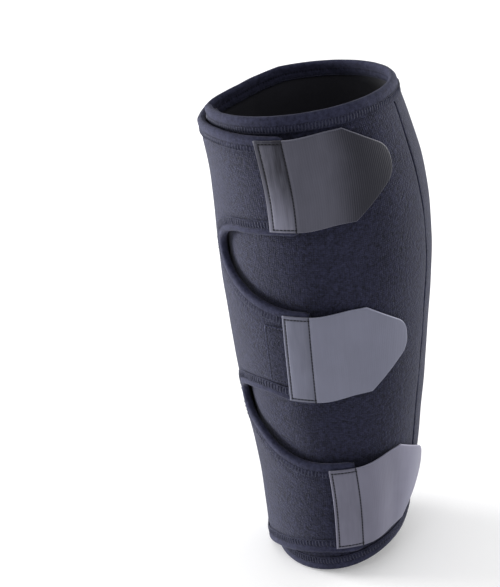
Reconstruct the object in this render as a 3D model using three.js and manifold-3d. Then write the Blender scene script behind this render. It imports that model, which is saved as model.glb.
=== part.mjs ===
// A wrap-around calf support of neoprene, closed by three hook tabs, in the form that it has in use.
// Millimetres, +Z up along the hollow, front at -Y. The origin is the hollow's centre, halfway up.
// A turn is an angle about Z in degrees: 0 is the right side (+X), -90 the front, 90 the back.
// Turns run on from the front panel's hidden edge at -200, over the seam at -30 and round the back
// to the tongues' ends near 280, so turns above the climb are on the outer layer.

import * as THREE from "three";
import { mergeVertices } from "three/addons/utils/BufferGeometryUtils.js";
import Module from "manifold-3d";

const wasm = await Module();
wasm.setup();

// Driving dimensions of the whole wrap.
const wrapLength = 300;
const hollowWidth = 118.5;

// Neoprene sheet with a fabric on each face, and the stretch tape that is folded over its cut edges.
const panelThickness = 3.5;
const bindingFabric = 0.6;
const bindingWidth = 9;
const bindingBevel = 0.9;
const clearance = 0.4;

// Where the two panels end: the seam on the right, and the front panel's edge under the wrap panel.
const seamTurn = -30;
const seamGap = 0.35;
const hiddenEdgeTurn = -200;

// The wrap panel climbs over the front panel's edge: the turn it takes, and how far before the edge
// the climb is over.
const climbTurn = 28;
const climbLead = 4;

// One hook tab: a straight piece sewn down along its strip, with cut corners and a round nose.
const tabLength = 76.5;
const tabWidth = 57;
const tabThickness = 1.4;
const tabStrip = 16.5;
const tabShoulder = 49.5;
const tabNose = 20.5;
const tabCheek = 14.5;
const tabTipFlat = 3;
const tabEndMargin = 1;
const tabStepDown = 14;

// The patch on the middle tongue, left of its tab and between the two bindings.
const patchLength = 31;
const patchFabric = 0.6;
const patchFootMargin = 3.4;
const patchTopMargin = 0.8;

// How finely the curved sheets are faceted.
const turnStep = 6;
const panelRows = 14;
const tabRows = 6;
const patchRows = 3;
const bayEdgeStep = 5;
const clothStep = 3;

// The hollow's sections, from the lower hem to the upper one. Level is a share of the wrap's length,
// and width, depth and the shifts of the section's centre are shares of the hollow's width.
const sections = [
  { level: -0.5, width: 0.642, depth: 0.733, right: -0.076, back: -0.111 },
  { level: -0.333, width: 0.749, depth: 0.836, right: -0.03, back: -0.068 },
  { level: -0.167, width: 0.862, depth: 0.942, right: -0.017, back: -0.025 },
  { level: 0.0, width: 0.947, depth: 1.013, right: 0.0, back: 0.0 },
  { level: 0.167, width: 1.0, depth: 1.047, right: 0.014, back: 0.007 },
  { level: 0.333, width: 0.965, depth: 0.987, right: 0.003, back: -0.032 },
  { level: 0.5, width: 0.893, depth: 0.908, right: -0.069, back: -0.082 },
];

// The seam's turn at levels that are shares of the wrap's length: it slants a little to the front
// as it goes down, and the panels' cloth takes up the slant over the seam's ease on each side.
const seamEase = 36;
const seamSlant = [
  { level: -0.5, turn: -5.5 },
  { level: -0.25, turn: -5 },
  { level: 0.0, turn: -1 },
  { level: 0.2, turn: 1.5 },
  { level: 0.36, turn: 0.5 },
  { level: 0.5, turn: 3.5 },
];

// The two hems as shares of the wrap's length: the upper one is highest in front and on the right,
// the lower one rises to the right.
const upperHem = { level: 0.5, front: 0.0096, right: 0.0087, wave: 0.0 };
const lowerHem = { level: -0.5, front: -0.0016, right: 0.0286, wave: 0.0073 };

// The three tongues of the wrap panel and their tabs. The turn is that of the tab's sewn end, the
// level is a share of the wrap's length, the tilt is the tab's rise to the right, the lean is its sewn
// end's to the left, both in degrees, and the margin is the tongue's edge beyond the tab's.
const tongues = [
  { name: "top", turn: 239, level: 0.371, tilt: 2, lean: -1.5, margin: 1.8, tipLift: 0.4 },
  { name: "middle", turn: 240.7, level: 0.001, tilt: 0, lean: 0, margin: 1.8, tipLift: 0.4 },
  { name: "bottom", turn: 259.2, level: -0.351, tilt: 3.5, lean: 3.5, margin: 3.5, tipLift: 1.2 },
];

// The wrap panel's hems leave the plain hem lines at the back and reach the outer tongues' edges.
// Past a share of 1 the hem dips beyond the tongue's edge.
const hemBlend = [
  { turn: 100, upper: 0.0, lower: 0.0 },
  { turn: 130, upper: 0.9, lower: 0.03 },
  { turn: 160, upper: 1.8, lower: 0.1 },
  { turn: 180, upper: 1.5, lower: 0.15 },
  { turn: 190, upper: 1.2, lower: 0.27 },
  { turn: 208, upper: 1.0, lower: 0.55 },
  { turn: 224, upper: 1.0, lower: 0.72 },
  { turn: 238, upper: 1.0, lower: 0.87 },
  { turn: 256, upper: 1.0, lower: 1.0 },
];

// The bays between the tongues. Rise is a share of the gap between the two tongues' edges.
const upperBay = [
  { turn: 239, rise: 0.99 },
  { turn: 225, rise: 0.955 },
  { turn: 211, rise: 0.91 },
  { turn: 200.5, rise: 0.79 },
  { turn: 195, rise: 0.62 },
  { turn: 197.5, rise: 0.44 },
  { turn: 210, rise: 0.24 },
  { turn: 224.5, rise: 0.1 },
  { turn: 241, rise: 0.015 },
];
const lowerBay = [
  { turn: 239, rise: 1.02 },
  { turn: 226, rise: 1.05 },
  { turn: 212, rise: 1.01 },
  { turn: 199, rise: 0.92 },
  { turn: 190, rise: 0.78 },
  { turn: 188, rise: 0.63 },
  { turn: 194.5, rise: 0.48 },
  { turn: 209, rise: 0.34 },
  { turn: 224.5, rise: 0.14 },
  { turn: 243, rise: 0.01 },
];

// Heights of the layers above the hollow's wall.
const bindingStand = clearance + bindingFabric;
const overlapLift = panelThickness + 2 * bindingFabric + 3 * clearance;
const tabOnTongue = overlapLift + panelThickness + bindingStand + clearance;
const tabOnPanel = panelThickness + clearance;

const radians = THREE.MathUtils.degToRad;
const cosine = (turn) => Math.cos(radians(turn));
const sine = (turn) => Math.sin(radians(turn));
const mix = (from, to, share) => from + (to - from) * share;

// A smooth curve through the points of a table's rows, and straight past both ends.
function along(table, key, column, at) {
  const last = table.length - 1;
  const slope = (i) => {
    const before = table[Math.max(i - 1, 0)];
    const after = table[Math.min(i + 1, last)];
    return (after[column] - before[column]) / (after[key] - before[key]);
  };
  if (at <= table[0][key]) return table[0][column] + slope(0) * (at - table[0][key]);
  if (at >= table[last][key]) return table[last][column] + slope(last) * (at - table[last][key]);
  const i = table.findIndex((row, n) => n < last && at < table[n + 1][key]);
  const span = table[i + 1][key] - table[i][key];
  const t = (at - table[i][key]) / span;
  return (
    (2 * t ** 3 - 3 * t ** 2 + 1) * table[i][column] +
    (t ** 3 - 2 * t ** 2 + t) * span * slope(i) +
    (3 * t ** 2 - 2 * t ** 3) * table[i + 1][column] +
    (t ** 3 - t ** 2) * span * slope(i + 1)
  );
}

// The point at a turn and a level, a height above the hollow's wall.
function place(turn, z, height) {
  const at = z / wrapLength;
  const halfWidth = (along(sections, "level", "width", at) * hollowWidth) / 2;
  const halfDepth = (along(sections, "level", "depth", at) * hollowWidth) / 2;
  const radius = 1 / Math.hypot(cosine(turn) / halfWidth, sine(turn) / halfDepth) + height;
  return new THREE.Vector3(
    along(sections, "level", "right", at) * hollowWidth + radius * cosine(turn),
    along(sections, "level", "back", at) * hollowWidth + radius * sine(turn),
    z,
  );
}

// Millimetres of cloth for each degree of turn, at a height above the wall.
function perDegree(turn, z, height) {
  return place(turn - 0.5, z, height).distanceTo(place(turn + 0.5, z, height));
}

// The turn that a piece of cloth reaches, as long as the distance and lying at a height.
function turnAfter(turn, z, distance, height) {
  const steps = Math.max(1, Math.ceil(Math.abs(distance) / clothStep));
  let reached = turn;
  for (let i = 0; i < steps; i++) reached += distance / steps / perDegree(reached, z, height);
  return reached;
}

function hemLevel(hem, turn) {
  return (
    wrapLength *
    (hem.level - hem.front * sine(turn) + hem.right * cosine(turn) + hem.wave * cosine(2 * turn))
  );
}

// Edges of a tongue, from its tab's size.
const tongueCentre = (tongue) => tongue.level * wrapLength;
const tongueTop = (tongue) => tongueCentre(tongue) + tabWidth / 2 + tongue.margin;
const tongueFoot = (tongue) => tongueCentre(tongue) - tabWidth / 2 - tongue.margin;
const [topTongue, middleTongue, bottomTongue] = tongues;

// A tongue ends under its tab, along the right side of the tab's strip.
function tongueEnd(tongue, z) {
  const across = z - tongueCentre(tongue);
  const length = tabStrip - across * Math.tan(radians(tongue.lean));
  return turnAfter(tongue.turn, z, length, tabOnTongue);
}

// The panels' height above the hollow's wall, and a point at a height above that.
const climbEnd = hiddenEdgeTurn + 360 - climbLead;
const wrapLift = (turn) =>
  overlapLift * THREE.MathUtils.smoothstep(turn, climbEnd - climbTurn, climbEnd);
const onLayer = (turn, z, height) => place(turn, z, wrapLift(turn) + height);

// A turn past the blend's first row follows the table; before it, the hems are the plain ones.
function blendShare(column, turn) {
  const first = hemBlend[0].turn;
  const last = hemBlend[hemBlend.length - 1].turn;
  return along(hemBlend, "turn", column, THREE.MathUtils.clamp(turn, first, last));
}
const wrapTop = (turn) =>
  mix(hemLevel(upperHem, turn), tongueTop(topTongue), blendShare("upper", turn));
const wrapFoot = (turn) =>
  mix(hemLevel(lowerHem, turn), tongueFoot(bottomTongue), blendShare("lower", turn));

// Turns from one to another, with a step of at most the given one.
function turnsBetween(from, to, step = turnStep) {
  const count = Math.max(1, Math.ceil(Math.abs(to - from) / step));
  return Array.from({ length: count + 1 }, (_, i) => mix(from, to, i / count));
}

// A closed body from rings of points: each ring is joined to the next, and the ends are capped
// in the order that the caps give.
function bodyFromRings(rings, caps) {
  const size = rings[0].length;
  const positions = rings.flat().flatMap((p) => [p.x, p.y, p.z]);
  const index = [];
  for (let i = 0; i + 1 < rings.length; i++)
    for (let j = 0; j < size; j++) {
      const a = i * size + j;
      const b = i * size + ((j + 1) % size);
      index.push(a, b, b + size, a, b + size, a + size);
    }
  const lastRing = (rings.length - 1) * size;
  for (const [a, b, c] of caps) {
    index.push(a, c, b);
    index.push(lastRing + a, lastRing + b, lastRing + c);
  }
  const geometry = new THREE.BufferGeometry();
  geometry.setAttribute("position", new THREE.Float32BufferAttribute(positions, 3));
  geometry.setIndex(index);
  return geometry;
}

// A sheet over a grid of columns and rows. Each ring goes up the inner face and down the outer one,
// and at(column, row, outside) gives its points.
function sheet(columns, rows, at) {
  const rings = columns.map((column) => {
    const ring = [];
    for (let j = 0; j <= rows; j++) ring.push(at(column, j, false));
    for (let j = rows; j >= 0; j--) ring.push(at(column, j, true));
    return ring;
  });
  const caps = [];
  const outer = (j) => 2 * rows + 1 - j;
  for (let j = 0; j < rows; j++)
    caps.push([j, j + 1, outer(j + 1)], [j, outer(j + 1), outer(j)]);
  return bodyFromRings(rings, caps);
}

// A folded tape over a cut edge. The path's points have a turn and a level, and the way into the panel
// is to the left of the path, seen from outside.
function binding(path) {
  const out = bindingStand;
  const top = panelThickness + bindingStand;
  const section = [
    [bindingWidth, top],
    [bindingBevel - out, top],
    [-out, top - bindingBevel],
    [-out, bindingBevel - out],
    [bindingBevel - out, -out],
    [bindingWidth, -out],
    [bindingWidth, -clearance],
    [-clearance, -clearance],
    [-clearance, panelThickness + clearance],
    [bindingWidth, panelThickness + clearance],
  ];
  const rings = path.map((point, i) => {
    const before = path[Math.max(i - 1, 0)];
    const after = path[Math.min(i + 1, path.length - 1)];
    const scale = perDegree(point.turn, point.z, wrapLift(point.turn) + panelThickness);
    const run = (after.turn - before.turn) * scale;
    const rise = after.z - before.z;
    const length = Math.hypot(run, rise);
    return section.map(([depth, height]) =>
      onLayer(
        point.turn - (depth * rise) / length / scale,
        point.z + (depth * run) / length,
        height,
      ),
    );
  });
  const contour = section.map(([depth, height]) => new THREE.Vector2(depth, height));
  const caps = THREE.ShapeUtils.triangulateShape(contour, []);
  return bodyFromRings(rings, caps);
}

// A sheet's or a binding's faces point out only if its volume is positive, so others are turned round.
function facingOut(geometry) {
  const position = geometry.getAttribute("position");
  const index = geometry.getIndex();
  const [a, b, c] = [new THREE.Vector3(), new THREE.Vector3(), new THREE.Vector3()];
  let volume = 0;
  for (let i = 0; i < index.count; i += 3) {
    a.fromBufferAttribute(position, index.getX(i));
    b.fromBufferAttribute(position, index.getX(i + 1));
    c.fromBufferAttribute(position, index.getX(i + 2));
    volume += a.dot(b.cross(c));
  }
  if (volume < 0)
    for (let i = 0; i < index.count; i += 3) {
      const second = index.getX(i + 1);
      index.setX(i + 1, index.getX(i + 2));
      index.setX(i + 2, second);
    }
  return geometry;
}

function toManifold(geometry) {
  const merged = mergeVertices(geometry);
  return new wasm.Manifold(
    new wasm.Mesh({
      numProp: 3,
      vertProperties: merged.getAttribute("position").array,
      triVerts: new Uint32Array(merged.getIndex().array),
    }),
  );
}

function fromManifold(solid) {
  const mesh = solid.getMesh();
  const geometry = new THREE.BufferGeometry();
  geometry.setAttribute("position", new THREE.BufferAttribute(mesh.vertProperties, 3));
  geometry.setIndex(new THREE.BufferAttribute(mesh.triVerts, 1));
  return geometry;
}

// The edge of a bay from the tongue above it to the tongue below it, as turns and levels.
function bayEdge(bay, above, below) {
  const high = tongueFoot(above);
  const low = tongueTop(below);
  const scale = perDegree(bay[0].turn, mix(low, high, 0.5), overlapLift);
  const points = [
    { turn: tongueEnd(above, high), z: high },
    ...bay.map(({ turn, rise }) => ({ turn, z: mix(low, high, rise) })),
    { turn: tongueEnd(below, low), z: low },
  ].map(({ turn, z }) => new THREE.Vector3(turn * scale, z, 0));
  const curve = new THREE.CatmullRomCurve3(points, false, "centripetal");
  return curve
    .getSpacedPoints(Math.ceil(curve.getLength() / bayEdgeStep))
    .map(({ x, y }) => ({ turn: x / scale, z: y }));
}
const upperBayEdge = bayEdge(upperBay, topTongue, middleTongue);
const lowerBayEdge = bayEdge(lowerBay, middleTongue, bottomTongue);

// The same outline with more points on its long straight sides.
function withShortSides(outline, longest) {
  return outline.flatMap((from, i) => {
    const to = outline[(i + 1) % outline.length];
    const run = (to.turn - from.turn) * perDegree(from.turn, from.z, overlapLift);
    const length = Math.hypot(run, to.z - from.z);
    const count = Math.ceil(length / longest);
    return Array.from({ length: count }, (_, n) => ({
      turn: mix(from.turn, to.turn, n / count),
      z: mix(from.z, to.z, n / count),
    }));
  });
}

// The wrap panel is cut from a sheet that goes a little past the longest tongue's end.
const bottomEnd = tongueEnd(bottomTongue, tongueFoot(bottomTongue));
const blankEndTurn = turnAfter(bottomEnd, 0, tabStrip / 2, overlapLift);

// What the tongues' ends and the bays take off that sheet: a radial block with that outline.
function tongueCutter() {
  const high = tongueTop(topTongue) + tabStrip;
  const low = tongueFoot(bottomTongue) - tabStrip;
  const beyond = turnAfter(blankEndTurn, 0, tabStrip, overlapLift);
  const corners = [
    { turn: beyond, z: high },
    { turn: tongueEnd(topTongue, high), z: high },
    ...upperBayEdge,
    ...lowerBayEdge,
    { turn: tongueEnd(bottomTongue, low), z: low },
    { turn: beyond, z: low },
  ];
  const outline = withShortSides(corners, wrapLength / panelRows);
  const inward = 0.3 * hollowWidth;
  const outward = 0.6 * hollowWidth;
  const heights = [-inward, -clearance, panelThickness + clearance, outward];
  const rings = heights.map((height) => outline.map(({ turn, z }) => onLayer(turn, z, height)));
  const contour = outline.map(({ turn, z }) => new THREE.Vector2(turn, z));
  return facingOut(bodyFromRings(rings, THREE.ShapeUtils.triangulateShape(contour, [])));
}

// A panel between two hems. Its first and last rows are as wide as the bindings.
function panel(fromTurn, toTurn, foot, top) {
  return sheet(turnsBetween(fromTurn, toTurn), panelRows, (turn, row, outside) => {
    const low = foot(turn) + bindingWidth;
    const high = top(turn) - bindingWidth;
    let z = mix(low, high, (row - 1) / (panelRows - 2));
    if (row === 0) z = foot(turn);
    if (row === panelRows) z = top(turn);
    const ease = Math.max(0, 1 - Math.abs(turn - seamTurn) / seamEase);
    const slant = ease * along(seamSlant, "level", "turn", z / wrapLength);
    return onLayer(turn + slant, z, outside ? panelThickness : 0);
  });
}

const halfSeam = seamGap / 2 / perDegree(seamTurn, 0, 0);

// The inner layer, from the seam on the right across the front to the edge under the wrap panel.
const frontFoot = (turn) => hemLevel(lowerHem, turn);
const frontTop = (turn) => hemLevel(upperHem, turn);
const frontPanel = () => panel(hiddenEdgeTurn, seamTurn - halfSeam, frontFoot, frontTop);

// The outer layer, from the seam round the back and over the front panel to the three tongues.
function wrapPanel() {
  const blank = facingOut(panel(seamTurn + halfSeam, blankEndTurn, wrapFoot, wrapTop));
  return fromManifold(toManifold(blank).subtract(toManifold(tongueCutter())));
}

// One tape along a whole hem: over the front panel from its hidden edge, on round the back, and along
// the outer layer to a tongue's end.
function hemPath(frontEdge, wrapEdge, endTurn) {
  const inner = turnsBetween(hiddenEdgeTurn, seamTurn).map((turn) => ({ turn, z: frontEdge(turn) }));
  const outer = turnsBetween(seamTurn, endTurn).map((turn) => ({ turn, z: wrapEdge(turn) }));
  return [...inner, ...outer.slice(1)];
}

// Half the tab's width at a distance from its sewn end.
function tabHalfWidth(distance) {
  const half = tabWidth / 2;
  if (distance <= tabShoulder) return half;
  const noseStart = tabShoulder + tabNose;
  if (distance <= noseStart) return mix(half, tabCheek, (distance - tabShoulder) / tabNose);
  const share = Math.min(1, (distance - noseStart) / (tabLength - noseStart));
  return Math.max(tabTipFlat / 2, tabCheek * Math.sqrt(1 - share ** 2));
}

// Height of the tab's inner face: over the tongue, down its end, along the panel, and up at the tip.
function tabHeight(distance, tipLift) {
  const stepStart = tabStrip + tabEndMargin;
  const down = THREE.MathUtils.smoothstep(distance, stepStart, stepStart + tabStepDown);
  const tip = Math.max(0, (distance - tabShoulder) / (tabLength - tabShoulder));
  return mix(tabOnTongue, tabOnPanel, down) + tipLift * tip ** 2;
}

function tab(tongue) {
  const stepStart = tabStrip + tabEndMargin;
  const stepEnd = stepStart + tabStepDown;
  const noseStart = tabShoulder + tabNose;
  const noseShares = [0, 0.45, 0.75, 0.93, 1];
  const distances = [
    ...[0, 0.33, 0.67].map((share) => share * stepStart),
    ...[0, 0.25, 0.5, 0.75].map((share) => mix(stepStart, stepEnd, share)),
    ...[0, 0.33, 0.67].map((share) => mix(stepEnd, tabShoulder, share)),
    ...[0, 0.33, 0.67].map((share) => mix(tabShoulder, noseStart, share)),
    ...noseShares.map((share) => mix(noseStart, tabLength, share)),
  ];
  return sheet(distances, tabRows, (distance, row, outside) => {
    const across = ((2 * row) / tabRows - 1) * tabHalfWidth(distance);
    const onStrip = Math.min(distance, tabStrip);
    const beyondStrip = distance - onStrip;
    const z = tongueCentre(tongue) + distance * sine(tongue.tilt) + across * cosine(tongue.lean);
    const start = onStrip * cosine(tongue.tilt) - across * sine(tongue.lean);
    const height = tabHeight(distance, tongue.tipLift);
    const turn = turnAfter(tongue.turn, z, start, tabOnTongue);
    const reached = turnAfter(turn, z, beyondStrip * cosine(tongue.tilt), tabOnPanel);
    return place(reached, z, height + (outside ? tabThickness : 0));
  });
}

// The patch lies between the two bindings of the middle tongue and ends with the tongue, under the tab.
function middlePatch() {
  const end = tongueEnd(middleTongue, tongueCentre(middleTongue));
  const start = turnAfter(end, tongueCentre(middleTongue), -patchLength, tabOnTongue);
  const low = tongueFoot(middleTongue) + bindingWidth + patchFootMargin;
  const high = tongueTop(middleTongue) - bindingWidth - patchTopMargin;
  const base = panelThickness + clearance;
  return sheet(turnsBetween(start, end), patchRows, (turn, row, outside) =>
    onLayer(turn, mix(low, high, row / patchRows), base + (outside ? patchFabric : 0)),
  );
}

const pile = { color: 0x2c2e42, roughness: 0.95, metalness: 0 };
const tape = { color: 0x343746, roughness: 0.75, metalness: 0 };
const darkHook = { color: 0x4c4d54, roughness: 0.55, metalness: 0 };
const paleHook = { color: 0x6c6e7c, roughness: 0.6, metalness: 0 };

const part = new THREE.Group();
function add(name, geometry, finish) {
  const mesh = new THREE.Mesh(facingOut(geometry), new THREE.MeshStandardMaterial(finish));
  mesh.name = name;
  part.add(mesh);
}

add("front_panel", frontPanel(), pile);
add("wrap_panel", wrapPanel(), pile);
const topEnd = tongueEnd(topTongue, tongueTop(topTongue));
add("upper_binding", binding(hemPath(frontTop, wrapTop, topEnd).reverse()), tape);
add("lower_binding", binding(hemPath(frontFoot, wrapFoot, bottomEnd)), tape);
add("upper_bay_binding", binding([...upperBayEdge].reverse()), tape);
add("lower_bay_binding", binding([...lowerBayEdge].reverse()), tape);
add("middle_patch", middlePatch(), pile);
for (const tongue of tongues)
  add(`${tongue.name}_tab`, tab(tongue), tongue === topTongue ? darkHook : paleHook);

export default part;
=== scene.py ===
import math

import bpy
import numpy as np
from mathutils import Matrix, Vector, geometry


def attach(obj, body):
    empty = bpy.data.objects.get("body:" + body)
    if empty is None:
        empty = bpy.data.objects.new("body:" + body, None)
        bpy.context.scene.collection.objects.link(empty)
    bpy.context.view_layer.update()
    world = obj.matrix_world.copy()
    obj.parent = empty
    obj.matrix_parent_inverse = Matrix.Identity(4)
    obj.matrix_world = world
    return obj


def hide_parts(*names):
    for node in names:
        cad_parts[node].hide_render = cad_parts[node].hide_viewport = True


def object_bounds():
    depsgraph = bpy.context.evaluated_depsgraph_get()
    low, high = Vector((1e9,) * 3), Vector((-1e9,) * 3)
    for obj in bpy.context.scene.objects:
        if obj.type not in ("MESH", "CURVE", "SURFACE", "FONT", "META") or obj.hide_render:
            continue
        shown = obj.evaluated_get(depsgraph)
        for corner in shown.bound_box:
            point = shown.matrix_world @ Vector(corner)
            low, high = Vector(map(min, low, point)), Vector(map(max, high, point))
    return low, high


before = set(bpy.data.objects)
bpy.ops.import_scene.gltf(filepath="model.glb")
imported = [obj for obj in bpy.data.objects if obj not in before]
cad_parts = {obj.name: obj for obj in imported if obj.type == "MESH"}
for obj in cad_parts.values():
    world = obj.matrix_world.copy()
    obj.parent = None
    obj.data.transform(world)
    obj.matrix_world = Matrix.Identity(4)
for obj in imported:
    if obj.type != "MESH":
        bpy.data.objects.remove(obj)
cad_low, cad_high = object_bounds()


# Studio: the camera stands in front of the wrap and above it, and leans a little to the left.
# Large soft boxes light the wrap from both sides and from above. The floor is plain pale paper.
def set_down(name, data):
    """A new object in the scene, unturned at the origin."""
    thing = bpy.data.objects.new(name, data)
    bpy.context.collection.objects.link(thing)
    return thing


camera_lift = math.radians(24.95)
camera_roll = math.radians(-6.76)
camera_distance = 0.998
camera_lens = 98.77
camera_aim = Vector((-0.05112, -0.0065, 0.0206))
backward = Vector((0, -math.cos(camera_lift), math.sin(camera_lift)))
level = Vector((1, 0, 0))
upward = level.cross(-backward)
camera_right = math.cos(camera_roll) * level + math.sin(camera_roll) * upward
camera_up = -math.sin(camera_roll) * level + math.cos(camera_roll) * upward
camera_spot = camera_aim + backward * camera_distance
camera = set_down("camera", bpy.data.cameras.new("camera"))
camera.data.sensor_width = 36
camera.data.lens = camera_lens
camera.data.clip_start, camera.data.clip_end = 0.01, 50
camera.matrix_world = Matrix(
    [[camera_right[i], camera_up[i], backward[i], camera_spot[i]] for i in range(3)]
    + [[0, 0, 0, 1]]
)
bpy.context.scene.camera = camera
bpy.context.scene.view_settings.view_transform = "Standard"

# where each box stands, its width and height, and its power
soft_boxes = {
    "key": ((-1.95, 0.8, 0.2), (1.0, 0.6), 87),
    "side": ((1.85, 0.95, 0.2), (0.9, 0.6), 37),
    "front": ((-0.4, -1.6, 2.2), (1.2, 1.2), 8),
    "top": ((0.0, 0.8, 3.2), (5.0, 5.0), 40),
}
for box_name, (box_spot, (box_width, box_height), box_power) in soft_boxes.items():
    data = bpy.data.lights.new(box_name, "AREA")
    data.shape, data.size, data.size_y = "RECTANGLE", box_width, box_height
    data.energy = box_power
    box = set_down(box_name, data)
    box.location = box_spot
    box.rotation_euler = (-box.location).to_track_quat("-Z", "Y").to_euler()
sky_strength = 0.52
world = bpy.data.worlds.new("studio")
bpy.context.scene.world = world
world.use_nodes = True
sky = world.node_tree.nodes["Background"].inputs
sky["Color"].default_value, sky["Strength"].default_value = (1, 1, 1, 1), sky_strength


class Tone:
    """A socket of a shader. Arithmetic on it adds Math nodes."""

    def __init__(self, socket):
        self.socket = socket

    def math(self, operation, *values):
        node = self.socket.id_data.nodes.new("ShaderNodeMath")
        node.operation = operation
        for socket, value in zip(node.inputs, values):
            feed(socket, value)
        return Tone(node.outputs[0])

    def __add__(self, other):
        return self.math("ADD", self, other)

    def __radd__(self, other):
        return self.math("ADD", other, self)

    def __sub__(self, other):
        return self.math("SUBTRACT", self, other)

    def __rsub__(self, other):
        return self.math("SUBTRACT", other, self)

    def __mul__(self, other):
        return self.math("MULTIPLY", self, other)

    def __rmul__(self, other):
        return self.math("MULTIPLY", other, self)

    def __truediv__(self, other):
        return self.math("DIVIDE", self, other)

    def clamped(self):
        return self.math("MINIMUM", self.math("MAXIMUM", self, 0.0), 1.0)

    def wave(self, period):
        """From 0 to 1 and back over the period."""
        return self.math("SINE", self * (2 * math.pi / period)) * 0.5 + 0.5

    def near(self, reach):
        """1 where a distance is 0, down to 0 where it is the reach."""
        return (1.0 - self / reach).clamped()


def feed(socket, value):
    """Links a tone to a socket, or sets the socket's own value."""
    if isinstance(value, Tone):
        socket.id_data.links.new(value.socket, socket)
    else:
        socket.default_value = value


class Finish:
    """One cloth's or paper's material. Sheen is the light in its fuzz."""

    def __init__(self, name, roughness, specular=0.5, sheen=0.0, fuzz=0.5, tint=(1, 1, 1)):
        self.material = bpy.data.materials.new(name)
        self.material.use_nodes = True
        self.tree = self.material.node_tree
        self.shader = self.tree.nodes["Principled BSDF"]
        self.shader.inputs["Roughness"].default_value = roughness
        self.shader.inputs["Specular IOR Level"].default_value = specular
        self.shader.inputs["Sheen Weight"].default_value = sheen
        self.shader.inputs["Sheen Roughness"].default_value = fuzz
        self.shader.inputs["Sheen Tint"].default_value = (*tint, 1)
        self.place = self.node("ShaderNodeTexCoord", output="Object")

    def node(self, kind, settings=None, sockets=None, output=0):
        node = self.tree.nodes.new(kind)
        for name, value in (settings or {}).items():
            if name == "stops":
                for element, (position, colour) in zip(node.color_ramp.elements, value):
                    element.position, element.color = position, colour
            else:
                setattr(node, name, value)
        for name, value in (sockets or {}).items():
            feed(node.inputs[name], value)
        return Tone(node.outputs[output])

    def stretched(self, stretch):
        """The place on the piece, denser by the stretch along each axis."""
        return self.node("ShaderNodeMapping", None, {"Vector": self.place, "Scale": stretch})

    def noise(self, size, detail=2.0, stretch=(1, 1, 1), rough=0.55):
        """Soft blotches about a size across, in metres."""
        place = self.stretched(stretch)
        grain = {"Scale": 0.5 / size, "Detail": detail, "Roughness": rough}
        return self.node("ShaderNodeTexNoise", None, {"Vector": place, **grain})

    def loops(self, size, stretch=(1, 1, 1)):
        """Small round loops about a size across."""
        place = self.stretched(stretch)
        return self.node("ShaderNodeTexVoronoi", None, {"Vector": place, "Scale": 1 / size})

    def on_cloth(self):
        """The place on the flat cloth, along and up, in metres."""
        flat = self.node("ShaderNodeUVMap", {"uv_map": "cloth"})
        return [self.node("ShaderNodeSeparateXYZ", None, {0: flat}, axis) for axis in (0, 1)]

    def kept(self, name):
        """A number that the piece keeps on its points."""
        return self.node("ShaderNodeAttribute", {"attribute_name": name}, None, "Fac")

    def between(self, share, dark, light):
        """A colour from dark to light."""
        stops = [(0.0, (*dark, 1)), (1.0, (*light, 1))]
        return self.node("ShaderNodeValToRGB", {"stops": stops}, {"Fac": share})

    def finish(self, colour, height, depth, strength, roughness=None):
        """The material, with its colour and with a height in metres that roughens it."""
        feed(self.shader.inputs["Base Color"], colour)
        if roughness is not None:
            feed(self.shader.inputs["Roughness"], roughness)
        relief = {"Height": height, "Distance": depth, "Strength": strength}
        bump = self.node("ShaderNodeBump", None, relief, "Normal")
        feed(self.shader.inputs["Normal"], bump)
        return self.material


floor_drop = 0.0004
floor_half = 6.0
floor_corners = ((-1, -1), (1, -1), (1, 1), (-1, 1))
floor_mesh = bpy.data.meshes.new("floor")
floor_mesh.from_pydata(
    [(x * floor_half, y * floor_half, cad_low.z - floor_drop) for x, y in floor_corners],
    [],
    [(0, 1, 2, 3)],
)
paper = Finish("floor_paper", roughness=0.9)
paper.shader.inputs["Emission Color"].default_value = (1, 1, 1, 1)
paper.shader.inputs["Emission Strength"].default_value = 0.1
floor_mesh.materials.append(
    paper.finish(
        paper.between(paper.noise(0.4), (0.93, 0.93, 0.94), (0.95, 0.95, 0.95)),
        paper.noise(0.002),
        depth=0.00005,
        strength=0.2,
    )
)
set_down("floor", floor_mesh)


# Front panel: the inner layer of neoprene, from the seam on the right across the front and under
# the outer layer on the left. It is a 3.5 mm foam sheet with loop pile outside and a knit lining.
# Everything lies on the hollow's wall, an oval that changes from the lower hem to the upper one.
MM = 0.001
wrap_length = 300.0
hollow_width = 118.5
panel_thickness = 3.5
panel_middle = panel_thickness / 2
# the cloth's slow waves, and how far from a bound edge they start and are full
panel_wave, panel_wave_size = 0.22, 42
wave_start, wave_full = 6, 24
cloth_grid = 2.4
# as shares of a grid's spacing: its rows' distance, and its room to the cut edge and kept points
grid_row, grid_edge_room, grid_kept_room = 0.866, 0.5, 0.45
seam_turn = -30.0
seam_gap = 0.35
slant_ease = 36.0
hidden_turn = -200.0
corner_drop, corner_span = 10.0, 26.0
climb_span = 28.0
climb_lead = 4.0
layer_lift = 5.9
# how far the tape's two rows of stitches lie from the edge
tape_rows = {"hem": (5.0, 8.8), "bay": (4.2, 8.4)}
# how the edges are squeezed under the tape, rounded in its fold, and rounded where they are bare
tape_squeeze, lining_squeeze, squeeze_past_row, squeeze_end = 0.45, 0.7, 0.8, 3.0
fold_reach, fold_radius, fold_half = 1.9, 2.2, 0.45
bare_reach, bare_outer, bare_inner = 1.3, 1.25, 0.5
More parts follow.
